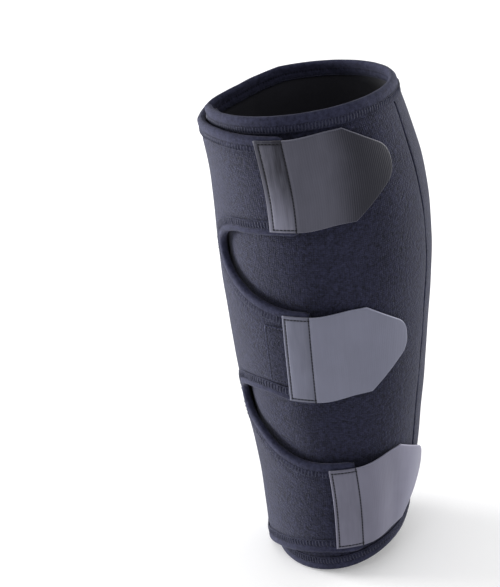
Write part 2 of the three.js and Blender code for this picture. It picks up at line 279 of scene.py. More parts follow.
# level, width, depth, right, back, as shares of the length and of the hollow's width
ovals = np.array(
    [
        (-0.5, 0.642, 0.733, -0.076, -0.111),
        (-0.333, 0.749, 0.836, -0.03, -0.068),
        (-0.167, 0.862, 0.942, -0.017, -0.025),
        (0.0, 0.947, 1.013, 0.0, 0.0),
        (0.167, 1.0, 1.047, 0.014, 0.007),
        (0.333, 0.965, 0.987, 0.003, -0.032),
        (0.5, 0.893, 0.908, -0.069, -0.082),
    ]
)
# level, and degrees that the seam leans by
seam_slant = np.array(
    [(-0.5, -5.5), (-0.25, -5.0), (0.0, -1.0), (0.2, 1.5), (0.36, 0.5), (0.5, 3.5)]
)
# level, and how much higher the hem is in front, on the right, and on both sides
upper_hem = (0.5, 0.0096, 0.0087, 0.0)
lower_hem = (-0.5, -0.0016, 0.0286, 0.0073)


def along(table, column, at):
    """A smooth curve through a table's rows, straight past both ends."""
    key, value = table[:, 0], table[:, column]
    row = np.arange(len(key))
    before, after = np.maximum(row - 1, 0), np.minimum(row + 1, len(key) - 1)
    slope = (value[after] - value[before]) / (key[after] - key[before])
    at = np.asarray(at, float)
    i = np.clip(np.searchsorted(key, at, side="right") - 1, 0, len(key) - 2)
    span = key[i + 1] - key[i]
    t = (at - key[i]) / span
    curve = (
        (2 * t**3 - 3 * t**2 + 1) * value[i]
        + (t**3 - 2 * t**2 + t) * span * slope[i]
        + (3 * t**2 - 2 * t**3) * value[i + 1]
        + (t**3 - t**2) * span * slope[i + 1]
    )
    curve = np.where(at <= key[0], value[0] + slope[0] * (at - key[0]), curve)
    return np.where(at >= key[-1], value[-1] + slope[-1] * (at - key[-1]), curve)


def place(turn, z, height):
    """The points at turns in degrees and levels, heights above the wall, in millimetres."""
    turn, z, height = np.broadcast_arrays(turn, z, height)
    at = z / wrap_length
    c, s = np.cos(np.radians(turn)), np.sin(np.radians(turn))
    half_width = along(ovals, 1, at) * hollow_width / 2
    half_depth = along(ovals, 2, at) * hollow_width / 2
    radius = 1 / np.hypot(c / half_width, s / half_depth) + height
    right, back = along(ovals, 3, at) * hollow_width, along(ovals, 4, at) * hollow_width
    return np.stack([right + radius * c, back + radius * s, z], -1)


def per_degree(turn, z, height):
    """How many millimetres of cloth a degree takes."""
    turn = np.asarray(turn)
    return np.linalg.norm(place(turn - 0.5, z, height) - place(turn + 0.5, z, height), axis=-1)


def turn_after(turn, z, distance, height, steps=26):
    """The turns that a cloth's length reaches."""
    turn = np.asarray(turn, float) + 0 * np.asarray(z) + 0 * np.asarray(distance)
    for _ in range(steps):
        turn = turn + distance / steps / per_degree(turn, z, height)
    return turn


def ease(at, low, high):
    t = np.clip((np.asarray(at, float) - low) / (high - low), 0, 1)
    return t * t * (3 - 2 * t)


def hem_level(hem, turn):
    t = np.radians(turn)
    return wrap_length * (
        hem[0] - hem[1] * np.sin(t) + hem[2] * np.cos(t) + hem[3] * np.cos(2 * t)
    )


def front_top_level(turn):
    """The front panel's upper hem, which drops towards its hidden corner."""
    drop = corner_drop * (1 - ease(turn, hidden_turn, hidden_turn + corner_span))
    return hem_level(upper_hem, turn) - drop


climb_end = hidden_turn + 360 - climb_lead


def climbed(turn):
    """How far the outer layer has climbed over the inner layer's hidden edge."""
    return layer_lift * ease(turn, climb_end - climb_span, climb_end)


def layer(turn, z, height):
    """Points on the inner layer, or past the climb on the outer one."""
    return place(turn, z, climbed(turn) + height)


def slanted(turn, z):
    """The cloth follows the seam's slant over the seam's ease."""
    share = np.maximum(0, 1 - np.abs(turn - seam_turn) / slant_ease)
    return turn + share * along(seam_slant, 1, z / wrap_length)


def ripple(a, b, seed, size):
    """Slow waves from -1 to 1, about a size long, the same on every run."""
    random = np.random.default_rng(seed)
    total = 0
    for _ in range(7):
        angle, phase = random.uniform(0, math.pi), random.uniform(0, 2 * math.pi)
        pace = 2 * math.pi / size * random.uniform(0.6, 1.5)
        total = total + np.sin(pace * (a * math.cos(angle) + b * math.sin(angle)) + phase)
    return total / 4


def rounding(gap, radius):
    """From 1 at an edge, down a quarter of a circle, to 0 a radius away from it."""
    return 1 - np.sqrt(np.clip(1 - (1 - np.minimum(gap, radius) / radius) ** 2, 0, 1))


def to_line(points, line):
    """How far flat points are from an open line."""
    best = np.full(len(points), 1e9)
    for start, end in zip(line[:-1], line[1:]):
        way = end - start
        t = np.clip(((points - start) @ way) / max(way @ way, 1e-12), 0, 1)
        gap = np.linalg.norm(points - start - t[:, None] * way, axis=1)
        best = np.minimum(best, gap)
    return best


def to_lines(points, lines):
    return np.min([to_line(points, line) for line in lines], 0)


def within(points, outline):
    """Which flat points are inside an outline."""
    x, y = points[:, 0], points[:, 1]
    odd = np.zeros(len(points), bool)
    for (ax, ay), (bx, by) in zip(outline, np.roll(outline, -1, 0)):
        if ay != by:
            odd ^= ((ay > y) != (by > y)) & (x < (bx - ax) * (y - ay) / (by - ay) + ax)
    return odd


def cut_cloth(outline, spacing, kept):
    """Points and triangles that fill a flat outline: the kept points, and a grid between them."""
    low, high = outline.min(0), outline.max(0)
    grid = []
    for n, y in enumerate(np.arange(low[1], high[1] + spacing, spacing * grid_row)):
        x = np.arange(low[0] + (n % 2) * spacing / 2, high[0], spacing)
        grid.append(np.stack([x, 0 * x + y], -1))
    grid = np.concatenate(grid)
    grid = grid[within(grid, outline)]
    grid = grid[to_line(grid, np.vstack([outline, outline[:1]])) > grid_edge_room * spacing]
    kept = kept[within(kept, outline)]
    batch = 400
    for start in range(0, len(kept), batch):
        part = kept[start : start + batch]
        gap = np.linalg.norm(grid[:, None] - part[None], axis=2).min(1)
        grid = grid[gap > grid_kept_room * spacing]
    flat = np.vstack([outline, kept, grid])
    found = geometry.delaunay_2d_cdt(
        [Vector(p) for p in flat], [], [list(range(len(outline)))], 1, 1e-6
    )
    return np.array([tuple(p) for p in found[0]]), [tuple(f) for f in found[2]]


def make_piece(name, points, faces, flat, materials, kinds=None):
    """A smooth mesh from points in millimetres. Flat gives each point's place on the cloth."""
    mesh = bpy.data.meshes.new(name)
    mesh.from_pydata((np.asarray(points) * MM).tolist(), [], faces)
    for material in materials:
        mesh.materials.append(material)
    if kinds is not None:
        mesh.polygons.foreach_set("material_index", kinds)
    mesh.polygons.foreach_set("use_smooth", [True] * len(mesh.polygons))
    corner = np.empty(len(mesh.loops), int)
    mesh.loops.foreach_get("vertex_index", corner)
    cloth = mesh.uv_layers.new(name="cloth")
    cloth.data.foreach_set("uv", (np.asarray(flat)[corner] * MM).ravel())
    mesh.update()
    piece = set_down(name, mesh)
    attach(piece, "root")
    return piece


def sheet_piece(name, flat, triangles, outer, inner, materials, kinds):
    """A closed sheet from both faces' points: the outside, the inside turned round, and the cut
    edge between them, each with its kind of material."""
    count = len(flat)
    sides = [side for face in triangles for side in zip(face, face[1:] + face[:1])]
    paired = set(sides)
    inside = [tuple(i + count for i in reversed(face)) for face in triangles]
    edge = [(b, a, a + count, b + count) for a, b in sides if (b, a) not in paired]
    kinds = np.repeat(kinds, [len(triangles), len(inside), len(edge)]).tolist()
    points, faces = np.vstack([outer, inner]), triangles + inside + edge
    return make_piece(name, points, faces, np.vstack([flat, flat]), materials, kinds)


def pile_finish():
    """Navy loop pile: fuzzy, mottled, in the faint columns and rows of its knitted ground."""
    pile = Finish("loop_pile", 0.95, specular=0.15, sheen=0.14, tint=(0.85, 0.87, 1.0))
    column, row = pile.on_cloth()
    tufts = pile.noise(0.0008, 2)
    loops = pile.loops(0.0008)
    clumps = pile.noise(0.0014, 3, rough=0.65)
    cloud = pile.noise(0.02, 2)
    stray = (tufts - 0.5) * 0.0009
    knit = (column + stray).wave(0.00135) * 0.5 + (row + stray).wave(0.0012) * 0.5
    mottle = (
        (tufts - 0.5) * 1.3 + (clumps - 0.5) * 1.3 + (knit - 0.5) * 0.25 + (cloud - 0.5) * 0.3
        + 0.55 - loops * 0.25
    ).clamped()
    return pile.finish(
        pile.between(mottle, (0.0045, 0.0047, 0.0112), (0.0262, 0.0276, 0.0592)),
        tufts + clumps * 0.8 + knit * 0.35 + loops * -0.6,
        depth=0.0005,
        strength=0.8,
    )


def lining_finish():
    """Smooth knitted lining, with the knit's fine ribs."""
    lining = Finish("jersey_lining", 0.7, specular=0.3, sheen=0.2, fuzz=0.4)
    knit = lining.loops(0.0006, stretch=(1, 1, 0.6))
    share = (lining.noise(0.02) - knit * 0.3).clamped()
    colour = lining.between(share, (0.011, 0.011, 0.016), (0.03, 0.03, 0.04))
    return lining.finish(colour, knit * -1.0, depth=0.0002, strength=0.5)


def foam_finish():
    """The cut edge of the foam between the two cloths."""
    foam = Finish("cut_foam", 0.9)
    cells = foam.loops(0.0004)
    colour = foam.between(cells, (0.008, 0.008, 0.009), (0.022, 0.022, 0.024))
    return foam.finish(colour, cells, depth=0.0002, strength=0.6)


neoprene = (pile_finish(), lining_finish(), foam_finish())
flat_scale = float(per_degree(seam_turn, 0, layer_lift))
half_seam = seam_gap / 2 / float(per_degree(seam_turn, 0, 0))


def panel_heights(from_bound, from_bare, turn, z, seed):
    """The outer and inner faces' heights: squeezed under a bound edge's tape, and with rounded
    corners at the bare edges."""
    tape_end = tape_rows["hem"][1] + squeeze_past_row
    squeeze = tape_squeeze * (1 - ease(from_bound, tape_end, tape_end + squeeze_end))
    in_fold = (fold_reach - np.minimum(from_bound, fold_reach)) / fold_radius
    folded = (1 - np.sqrt(np.clip(1 - in_fold**2, 0, 1))) * (panel_middle - fold_half)
    bare = rounding(from_bare, bare_reach)
    wave = panel_wave * ripple(turn, z, seed, panel_wave_size)
    wave = wave * ease(from_bound, wave_start, wave_full)
    outer = panel_thickness - squeeze - folded - bare * bare_outer
    inner = lining_squeeze * squeeze + folded + bare * bare_inner
    return outer + wave, inner + wave


def panel_piece(name, outline, bound, bare, kept, seed):
    """One neoprene panel from its flat outline, with millimetres of cloth to the right and up."""
    flat, triangles = cut_cloth(outline, cloth_grid, kept)
    turn, z = flat[:, 0] / flat_scale, flat[:, 1]
    outer, inner = panel_heights(to_lines(flat, bound), to_lines(flat, bare), turn, z, seed)
    turn = slanted(turn, z)
    faces = layer(turn, z, outer), layer(turn, z, inner)
    return sheet_piece(name, flat, triangles, *faces, neoprene, (0, 1, 2))


def spaced(low, high, step):
    return np.linspace(low, high, max(2, int(math.ceil(abs(high - low) / step)) + 1))


def straight(start, end, step):
    """A straight line of flat points, about a step apart."""
    count = len(spaced(0, math.dist(start, end), step))
    return np.stack([np.linspace(a, b, count) for a, b in zip(start, end)], -1)


def flat_line(turn, z):
    """A line of flat points from turns and levels."""
    turn, z = np.broadcast_arrays(turn, z)
    return np.stack([turn * flat_scale, z], -1).astype(float)


front_turns = spaced(hidden_turn, seam_turn - half_seam, cloth_grid / flat_scale)
front_foot = flat_line(front_turns, hem_level(lower_hem, front_turns))
front_top = flat_line(front_turns, front_top_level(front_turns))
front_right = straight(front_foot[-1], front_top[-1], cloth_grid)
front_left = straight(front_foot[0], front_top[0], cloth_grid)
seam_steps = (0.3, 0.75, 1.4)
front_panel = panel_piece(
    "front_panel_neoprene",
    np.vstack([front_foot, front_right[1:-1], front_top[::-1], front_left[-2:0:-1]]),
    (front_foot, front_top),
    (front_right, front_left),
    np.vstack(
        [front_right + (-step, 0) for step in seam_steps]
        + [front_left + (step, 0) for step in seam_steps]
    ),
    3,
)
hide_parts("front_panel")


# Wrap panel: the outer layer of the same neoprene. It starts at the seam, goes round the back and
# over the front panel, and is cut there into three tongues with two round bays between them.
tab_width = 57.0
tab_strip = 16.5
tab_on_tongue = 10.8
tab_on_panel = 3.9
# turn, level, tilt, lean, margin, tip lift
tongues = {
    "top": (239.0, 0.371, 2.0, -1.5, 1.8, 0.4),
    "middle": (240.7, 0.001, 0.0, 0.0, 1.8, 0.4),
    "bottom": (259.2, -0.351, 3.5, 3.5, 3.5, 1.2),
}
# turn, and how far the upper and the lower hem have gone over to the tongues' edges
hem_blend = np.array(
    [
        (100, 0.0, 0.0), (130, 0.9, 0.03), (160, 1.8, 0.1),
        (180, 1.5, 0.15), (190, 1.2, 0.27), (208, 1.0, 0.55),
        (224, 1.0, 0.72), (238, 1.0, 0.87), (256, 1.0, 1.0),
    ]
)
# turn, and rise from the tongue below to the one above
upper_bay = [
    (239, 0.99), (225, 0.955), (211, 0.91), (200.5, 0.79), (195, 0.62),
    (197.5, 0.44), (210, 0.24), (224.5, 0.1), (241, 0.015),
]
lower_bay = [
    (239, 1.02), (226, 1.05), (212, 1.01), (199, 0.92), (190, 0.78),
    (188, 0.63), (194.5, 0.48), (209, 0.34), (224.5, 0.14), (243, 0.01),
]


def tongue_edges(name):
    """The lower and upper edge of a tongue."""
    _, tongue_level, _, _, margin, _ = tongues[name]
    half = tab_width / 2 + margin
    return tongue_level * wrap_length - half, tongue_level * wrap_length + half


def tongue_end(name, z):
    """The turn at which a tongue ends, under the right side of its tab's strip."""
    turn, tongue_level, _, lean, _, _ = tongues[name]
    across = z - tongue_level * wrap_length
    return turn_after(turn, z, tab_strip - across * math.tan(math.radians(lean)), tab_on_tongue)


def blended(turn, column, plain, reached):
    turn = np.asarray(turn, float)
    share = along(hem_blend, column, np.clip(turn, hem_blend[0, 0], hem_blend[-1, 0]))
    return plain + (reached - plain) * share


def wrap_top(turn):
    return blended(turn, 1, hem_level(upper_hem, turn), tongue_edges("top")[1])


def wrap_foot(turn):
    return blended(turn, 2, hem_level(lower_hem, turn), tongue_edges("bottom")[0])


def passed(t, low, high, start, end):
    """A point on the way from start, at low, to end, at high."""
    return (high - t) / (high - low) * start + (t - low) / (high - low) * end


def bay_edge(bay, above, below, step):
    """The edge of a bay from the tongue above it to the one below, as turns and levels: a round
    curve through the bay's rows, with points a step apart."""
    high, low = tongue_edges(above)[0], tongue_edges(below)[1]
    scale = float(per_degree(bay[0][0], (high + low) / 2, layer_lift))
    corners = [
        (float(tongue_end(above, high)), high),
        *((turn, low + (high - low) * rise) for turn, rise in bay),
        (float(tongue_end(below, low)), low),
    ]
    knots = np.array([(turn * scale, z) for turn, z in corners])
    knots = np.vstack([2 * knots[0] - knots[1], knots, 2 * knots[-1] - knots[-2]])
    curve = []
    for p0, p1, p2, p3 in zip(knots, knots[1:], knots[2:], knots[3:]):
        steps = np.linalg.norm([p1 - p0, p2 - p1, p3 - p2], axis=1) ** 0.5
        t0, t1, t2, t3 = np.cumsum([0.0, *steps])
        t = np.linspace(t1, t2, 60, endpoint=False)[:, None]
        a1, a2 = passed(t, t0, t1, p0, p1), passed(t, t1, t2, p1, p2)
        b1 = passed(t, t0, t2, a1, a2)
        b2 = passed(t, t1, t3, a2, passed(t, t2, t3, p2, p3))
        curve.append(passed(t, t1, t2, b1, b2))
    curve = np.vstack([*curve, knots[-2:-1]])
    run = np.concatenate([[0], np.cumsum(np.linalg.norm(np.diff(curve, axis=0), axis=1))])
    at = np.linspace(0, run[-1], int(run[-1] / step) + 1)
    return np.interp(at, run, curve[:, 0]) / scale, np.interp(at, run, curve[:, 1])


def end_line(name):
    """A tongue's bare end, under its tab."""
    z = spaced(*tongue_edges(name), cloth_grid)
    return flat_line(tongue_end(name, z), z)


top_end = float(tongue_end("top", tongue_edges("top")[1]))
bottom_end = float(tongue_end("bottom", tongue_edges("bottom")[0]))
foot_turns = spaced(seam_turn + half_seam, bottom_end, cloth_grid / flat_scale)
top_turns = spaced(seam_turn + half_seam, top_end, cloth_grid / flat_scale)
foot_line = flat_line(foot_turns, wrap_foot(foot_turns))
top_line = flat_line(top_turns, wrap_top(top_turns))
seam_line = straight(foot_line[0], top_line[0], cloth_grid)
upper_bay_line = flat_line(*bay_edge(upper_bay, "top", "middle", cloth_grid))
lower_bay_line = flat_line(*bay_edge(lower_bay, "middle", "bottom", cloth_grid))
top_end_line, middle_end_line, bottom_end_line = (end_line(name) for name in tongues)
wrap_edges = (
    foot_line, bottom_end_line, lower_bay_line[::-1], middle_end_line,
    upper_bay_line[::-1], top_end_line, top_line[::-1], seam_line[::-1],
)
wrap_panel = panel_piece(
    "wrap_panel_neoprene",
    np.vstack([line[:-1] for line in wrap_edges]),
    (foot_line, top_line, upper_bay_line, lower_bay_line),
    (seam_line, bottom_end_line, middle_end_line, top_end_line),
    np.vstack([seam_line + (step, 0) for step in seam_steps]),
    5,
)
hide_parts("wrap_panel")


# Bindings: a knitted stretch tape folded over each cut edge. One goes round the whole upper hem and
# one round the lower, and one lines each bay. The tape is puffed up over the edge and held down by
# the two rows of its cover stitch.
tape_cloth = 0.4
tape_puff = 0.62
tape_step = 0.6
tape_past_row = 0.75
# the fold is a half oval round the cut edge, from where both legs turn
fold_turn, fold_middle, fold_length = 2.3, 1.9, 2.4
fold_points, leg_points = 13, 17
row_dip, row_width = 0.22, 0.6
tail_dip, tail_lead = 0.12, 0.2
rung_gather, ladder_blur = 0.1, 0.5
tape_swell, swell_size, swell_stretch, swell_fade = 0.12, 7, 3, 2
sewn_end_span, sewn_end_drop, sewn_end_shift, sewn_end_fade = 3.0, 0.3, 0.9, 2
stitch_pitch = 1.9


def tape_finish():
    """Fine knitted nylon tape, dyed as the pile. Painted shade darkens it at each needle hole
    and in the dips between the ladder's rungs."""
    tape = Finish("stretch_tape", 0.9, 0.12, sheen=0.08, fuzz=0.45, tint=(0.85, 0.87, 1.0))
    knit = tape.loops(0.00055, stretch=(1, 1, 0.8))
    fuzz = tape.noise(0.0012, 2)
    rung = (tape.kept("stitch_beat") + 0.25).wave(1.0)
    # painted shade at the needle holes, and in the tape's dips at the ladder's rungs
    needle_hole_shade = tape.kept("row_gap").near(0.0009) * (1.1 - rung)
    share = (
        (fuzz - 0.5) * 1.0 + 0.62 - knit * 0.3 - needle_hole_shade * 0.36
        - tape.kept("ladder") * rung * 0.25
    ).clamped()
    return tape.finish(
        tape.between(share, (0.0056, 0.0059, 0.0136), (0.044, 0.0465, 0.089)),
        knit * -1.0 + fuzz * 0.5,
        depth=0.0003,
        strength=0.6,
    )


tape = tape_finish()


def smooth_path(turn, z, step):
    """A path resampled evenly, and its length so far, its slope and its scale."""
    scale = per_degree(turn, z, panel_thickness)
    run = np.diff(turn) * (scale[1:] + scale[:-1]) / 2
    length = np.concatenate([[0], np.cumsum(np.hypot(run, np.diff(z)))])
    at = np.linspace(0, length[-1], int(length[-1] / step) + 1)
    turn, z = np.interp(at, length, turn), np.interp(at, length, z)
    scale = per_degree(turn, z, panel_thickness + climbed(turn))
    run, rise = np.gradient(turn) * scale, np.gradient(z)
    size = np.hypot(run, rise)
    return turn, z, at, run / size, rise / size, scale


def on_tape(path, depth, height):
    """Points at depths into the panel from a path, and heights. The panel is left of the path."""
    turn, z, _, run, rise, scale = (np.asarray(a)[:, None] for a in path)
    return layer(turn - depth * rise / scale, z + depth * run, height)


def tape_section(rows):
    """The tape's outer skin and the skin against the panel, as depths and heights."""
    end = rows[1] + tape_past_row
    depths = np.linspace(end, fold_turn, leg_points)
    dip = sum(np.exp(-(((depths - row) / row_width) ** 2)) for row in rows)
    puff = tape_puff - row_dip * dip - ease(depths, rows[1] - tail_lead, end) * tail_dip
    angle = np.radians(np.linspace(90, 270, fold_points))

    def skin(cloth):
        fold = (
            fold_middle + (fold_length - cloth) * np.cos(angle),
            panel_middle + (panel_middle + tape_puff - cloth) * np.sin(angle),
        )
        legs = (depths, panel_thickness + puff - cloth), fold, (depths[::-1], cloth - puff[::-1])
        return np.hstack(legs).T

    return skin(0.0), skin(tape_cloth)[::-1]


def keep(piece, **values):
    """Keeps numbers on a piece's points, for its finish."""
    for name, value in values.items():
        on_points = piece.data.attributes.new(name, "FLOAT", "POINT")
        on_points.data.foreach_set("value", np.ravel(value))


def tape_piece(name, turn, z, rows, seed):
    """A tape along an edge and its path. The stitches gather it into a rib at each rung, and its
    cut ends are sewn down flat."""
    path = smooth_path(turn, z, tape_step)
    outer, inner = tape_section(rows)
    section = np.vstack([outer, inner])
    depth, height = section[None, :, 0], section[None, :, 1]
    at = path[2][:, None]
    beat = at / path[2][-1] * int(path[2][-1] / stitch_pitch)
    side = np.sign(height - panel_middle)
    ladder = ease(depth, rows[0] - ladder_blur, rows[0] + ladder_blur)
    ladder = ladder * ease(-depth, -rows[1] - ladder_blur, -rows[1] + ladder_blur) * (side > 0)
    gather = -rung_gather * np.cos(2 * math.pi * beat) * ladder
    swell = tape_swell * ripple(at / swell_stretch, depth, seed, swell_size)
    swell = swell * ease(rows[0] - depth, 0, swell_fade)
    sewn_end = 1 - ease(np.minimum(at, at[-1] - at), 0, sewn_end_span)
    drop = sewn_end_drop * sewn_end * ease(fold_turn - depth, -sewn_end_fade, 0)
    shift = sewn_end_shift * sewn_end * ease(fold_turn - depth, 0, sewn_end_fade)
    points = on_tape(path, depth + shift, height + side * (gather + swell - drop))
    count, ring = points.shape[:2]
    faces = []
    for i in range(count - 1):
        for j in range(ring):
            a, b = i * ring + j, i * ring + (j + 1) % ring
            faces.append((a, a + ring, b + ring, b))
    for base, flip in ((0, False), ((count - 1) * ring, True)):
        for j in range(len(outer) - 1):
            face = (base + j, base + j + 1, base + ring - 2 - j, base + ring - 1 - j)
            faces.append(face[::-1] if flip else face)
    around = np.cumsum(np.hypot(*np.diff(section, axis=0, prepend=section[:1]).T))
    flat = np.stack(np.broadcast_arrays(at, around[None]), -1).reshape(-1, 2)
    piece = make_piece(name, points.reshape(-1, 3), faces, flat, (tape,))
    row_gap = np.min([np.abs(depth - row) for row in rows], 0) * MM
    beat, row_gap, ladder = np.broadcast_arrays(beat, row_gap, ladder)
    keep(piece, stitch_beat=beat, row_gap=row_gap, ladder=ladder)
    return piece, path


def joined_hem(front, wrap, end):
    """A hem's path along the front panel and on along the wrap panel."""
    inner = spaced(hidden_turn, seam_turn, 1.0)
    outer = spaced(seam_turn, end, 1.0)[1:]
    return np.concatenate([inner, outer]), np.concatenate([front(inner), wrap(outer)])


def lower_level(turn):
    return hem_level(lower_hem, turn)


def turned_round(path):
    return [part[::-1] for part in path]


# each tape's path, with its panel on the left, and its kind
tape_routes = {
    "upper": (*turned_round(joined_hem(front_top_level, wrap_top, top_end)), "hem"),
    "lower": (*joined_hem(lower_level, wrap_foot, bottom_end), "hem"),
    "upper_bay": (*turned_round(bay_edge(upper_bay, "top", "middle", 1.0)), "bay"),
    "lower_bay": (*turned_round(bay_edge(lower_bay, "middle", "bottom", 1.0)), "bay"),
}
for seed, (tape_name, (turn, z, kind)) in enumerate(tape_routes.items()):
    piece, path = tape_piece(tape_name + "_tape", turn, z, tape_rows[kind], 11 + seed)
    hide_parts(tape_name + "_binding")
    [front_panel, wrap_panel] if kind == "hem" else [wrap_panel]


# Cover stitches: two rows of needle thread hold each tape down, and between them a looper thread
# runs to and fro on the outside like a ladder. The lining's side shows the two needle rows only.
thread_radius = 0.14
rung_radius = 0.3
thread_rise = 0.28
# a needle stitch's length as a share of the pitch, and its heights
needle_share, needle_low, needle_high = 0.92, -0.3, 0.02
# how the looper's thread arches on its rung and on its way back, from how deep in the tape
rung_rise, back_rise, looper_sink = 0.46, 0.3, 0.1
arch_shares = (0.0, 0.12, 0.35, 0.65, 0.88, 1.0)


def strand(points, radius=thread_radius, sides=5):
    """A closed thread through points, as points and faces."""
    points = np.array(points, float)
    way = np.gradient(points, axis=0)
    way /= np.linalg.norm(way, axis=1)[:, None]
    side = np.cross(way, (0, 0, 1.0))
    side /= np.linalg.norm(side, axis=1)[:, None]
    rise = np.cross(side, way)
    turn = np.linspace(0, 2 * math.pi, sides, endpoint=False)[None, :, None]
    rings = points[:, None] + radius * (np.cos(turn) * side[:, None] + np.sin(turn) * rise[:, None])
    faces = [tuple(range(sides))[::-1]]
    for i in range(len(points) - 1):
        for j in range(sides):
            a, b = i * sides + j, i * sides + (j + 1) % sides
            faces.append((a, b, b + sides, a + sides))
    faces.append(tuple((len(points) - 1) * sides + j for j in range(sides)))
    return rings.reshape(-1, 3), faces


def stitch_shape(name, strands):
    """One repeat of a stitch as an object in metres, to be set along a row."""
    points, faces = [], []
    for strand_points, strand_faces in strands:
        faces += [tuple(i + len(points) for i in face) for face in strand_faces]
        points += strand_points.tolist()
    mesh = bpy.data.meshes.new(name)
    mesh.from_pydata((np.array(points) * MM).tolist(), [], faces)
    mesh.polygons.foreach_set("use_smooth", [True] * len(mesh.polygons))
    return set_down(name, mesh)


def needle(row, length):
    """A needle stitch along a row, which dives into the cloth at both ends."""
    reach = length / 2
    heights = ((-1.0, needle_low), (-0.6, needle_high), (0.6, needle_high), (1.0, needle_low))
    return strand([(share * reach, row, height) for share, height in heights])


def cover_stitch(name, span, outside):
    """One repeat of the cover stitch, with its rows a span apart: two needle threads, and outside
    the looper's rung between them and its way back."""
    half = span / 2
    strands = [needle(row, stitch_pitch * needle_share) for row in (-half, half)]
    if outside:
        step = stitch_pitch / 2
        rung, back = [], []
        for t in arch_shares:
            arch, across = math.sin(math.pi * t) ** 0.5, 2 * t - 1
            rung.append((-step, half * across, rung_rise * arch - looper_sink))
            back.append((step * across, -half * across, back_rise * arch - looper_sink))
        strands += [strand(rung, rung_radius), strand(back)]
    return stitch_shape(name, strands)


def stitch_tree():
    """Geometry nodes that set a stitch on each point, turned along the row and out of the cloth."""
    tree = bpy.data.node_groups.new("stitch_row", "GeometryNodeTree")
    sockets = {"Geometry": "Geometry", "Stitch": "Object", "Wander": "Float", "Seed": "Int"}
    for name, kind in {**sockets, "Thread": "Material"}.items():
        tree.interface.new_socket(name, in_out="INPUT", socket_type="NodeSocket" + kind)
    tree.interface.new_socket("Geometry", in_out="OUTPUT", socket_type="NodeSocketGeometry")

    def node(kind, settings, sockets):
        """A node's outputs, once its settings are made and its sockets are set or linked."""
        made = tree.nodes.new(kind)
        for name, value in settings.items():
            setattr(made, name, value)
        for name, value in sockets.items():
            if isinstance(value, bpy.types.NodeSocket):
                tree.links.new(value, made.inputs[name])
            else:
                made.inputs[name].default_value = value
        return made.outputs

    given = node("NodeGroupInput", {}, {})
    vectors = {"data_type": "FLOAT_VECTOR"}
    run, out = (
        node("GeometryNodeInputNamedAttribute", vectors, {"Name": name})["Attribute"]
        for name in ("run", "out")
    )
    turned = node(
        "FunctionNodeAxesToRotation",
        {"primary_axis": "Z", "secondary_axis": "X"},
        {0: out, 1: run},
    )
    most = node("ShaderNodeCombineXYZ", {}, {axis: given["Wander"] for axis in range(3)})
    least = node("ShaderNodeVectorMath", {"operation": "SCALE"}, {0: most[0], "Scale": -1.0})
    random = node(
        "FunctionNodeRandomValue", vectors, {0: least[0], 1: most[0], "Seed": given["Seed"]}
    )
    astray = node("FunctionNodeEulerToRotation", {}, {0: random[0]})
    rotation = node(
        "FunctionNodeRotateRotation", {"rotation_space": "LOCAL"}, {0: turned[0], 1: astray[0]}
    )
    shape = node("GeometryNodeObjectInfo", {}, {"Object": given["Stitch"]})
    rows = node(
        "GeometryNodeInstanceOnPoints",
        {},
        {"Points": given["Geometry"], "Instance": shape["Geometry"], "Rotation": rotation[0]},
    )
    real = node("GeometryNodeRealizeInstances", {}, {"Geometry": rows[0]})
    dyed = node("GeometryNodeSetMaterial", {}, {"Geometry": real[0], "Material": given["Thread"]})
    node("NodeGroupOutput", {}, {"Geometry": dyed[0]})
    return tree


stitch_rows = stitch_tree()


def sew(name, points, run, out, shape, thread, wander, seed):
    """A row of stitches as one mesh, from points in millimetres and their directions."""
    mesh = bpy.data.meshes.new(name + "_row")
    mesh.from_pydata((np.asarray(points) * MM).tolist(), [], [])
    for way_name, way in (("run", run), ("out", out)):
        way = way / np.linalg.norm(way, axis=1)[:, None]
        on_points = mesh.attributes.new(way_name, "FLOAT_VECTOR", "POINT")
        on_points.data.foreach_set("vector", way.ravel())
    holder = set_down(name + "_row", mesh)
    modifier = holder.modifiers.new("stitches", "NODES")
    modifier.node_group = stitch_rows
    inputs = {"Stitch": shape, "Wander": wander, "Seed": seed, "Thread": thread}
    for item in stitch_rows.interface.items_tree:
        if item.in_out == "INPUT" and item.name in inputs:
            modifier[item.identifier] = inputs[item.name]
    graph = bpy.context.evaluated_depsgraph_get()
    sewn = bpy.data.meshes.new_from_object(holder.evaluated_get(graph), depsgraph=graph)
    bpy.data.objects.remove(holder)
    sewn.name = name
    piece = set_down(name, sewn)
    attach(piece, "root")
    return piece


def thread_finish(name, dark, light):
    """Twisted polyester thread, with a soft shine."""
    yarn = Finish(name, 0.6, specular=0.2, sheen=0.04)
    ply = yarn.noise(0.0004, 2)
    return yarn.finish(yarn.between(ply, dark, light), ply, depth=0.0001, strength=0.5)


def tape_row(turn, z, depth, height):
    """Points one stitch apart on a tape, with their directions along the row and out of it."""
    path = smooth_path(np.asarray(turn), np.asarray(z), stitch_pitch)
    spots = on_tape(path, np.array([[depth]]), np.array([[height]]))[:, 0]
    above = on_tape(path, np.array([[depth]]), np.array([[height + 1.0]]))[:, 0]
    return spots, np.gradient(spots, axis=0), above - spots


cover_thread = thread_finish("cover_thread", (0.018, 0.0195, 0.036), (0.045, 0.048, 0.084))
for seed, (tape_name, (turn, z, kind)) in enumerate(tape_routes.items()):
    near_row, far_row = tape_rows[kind]
    for side, height in (("outer", panel_thickness + thread_rise), ("inner", -thread_rise)):
        shape = cover_stitch(f"{kind}_{side}_stitch", far_row - near_row, side == "outer")
        spots, run, out = tape_row(turn, z, (near_row + far_row) / 2, height)
        if side == "inner":
            out = -out
        rows_name = f"{tape_name}_{side}_coverstitch"
        stitches = sew(rows_name, spots, run, out, shape, cover_thread, 0.07, 40 + seed)
        bpy.data.objects.remove(shape)


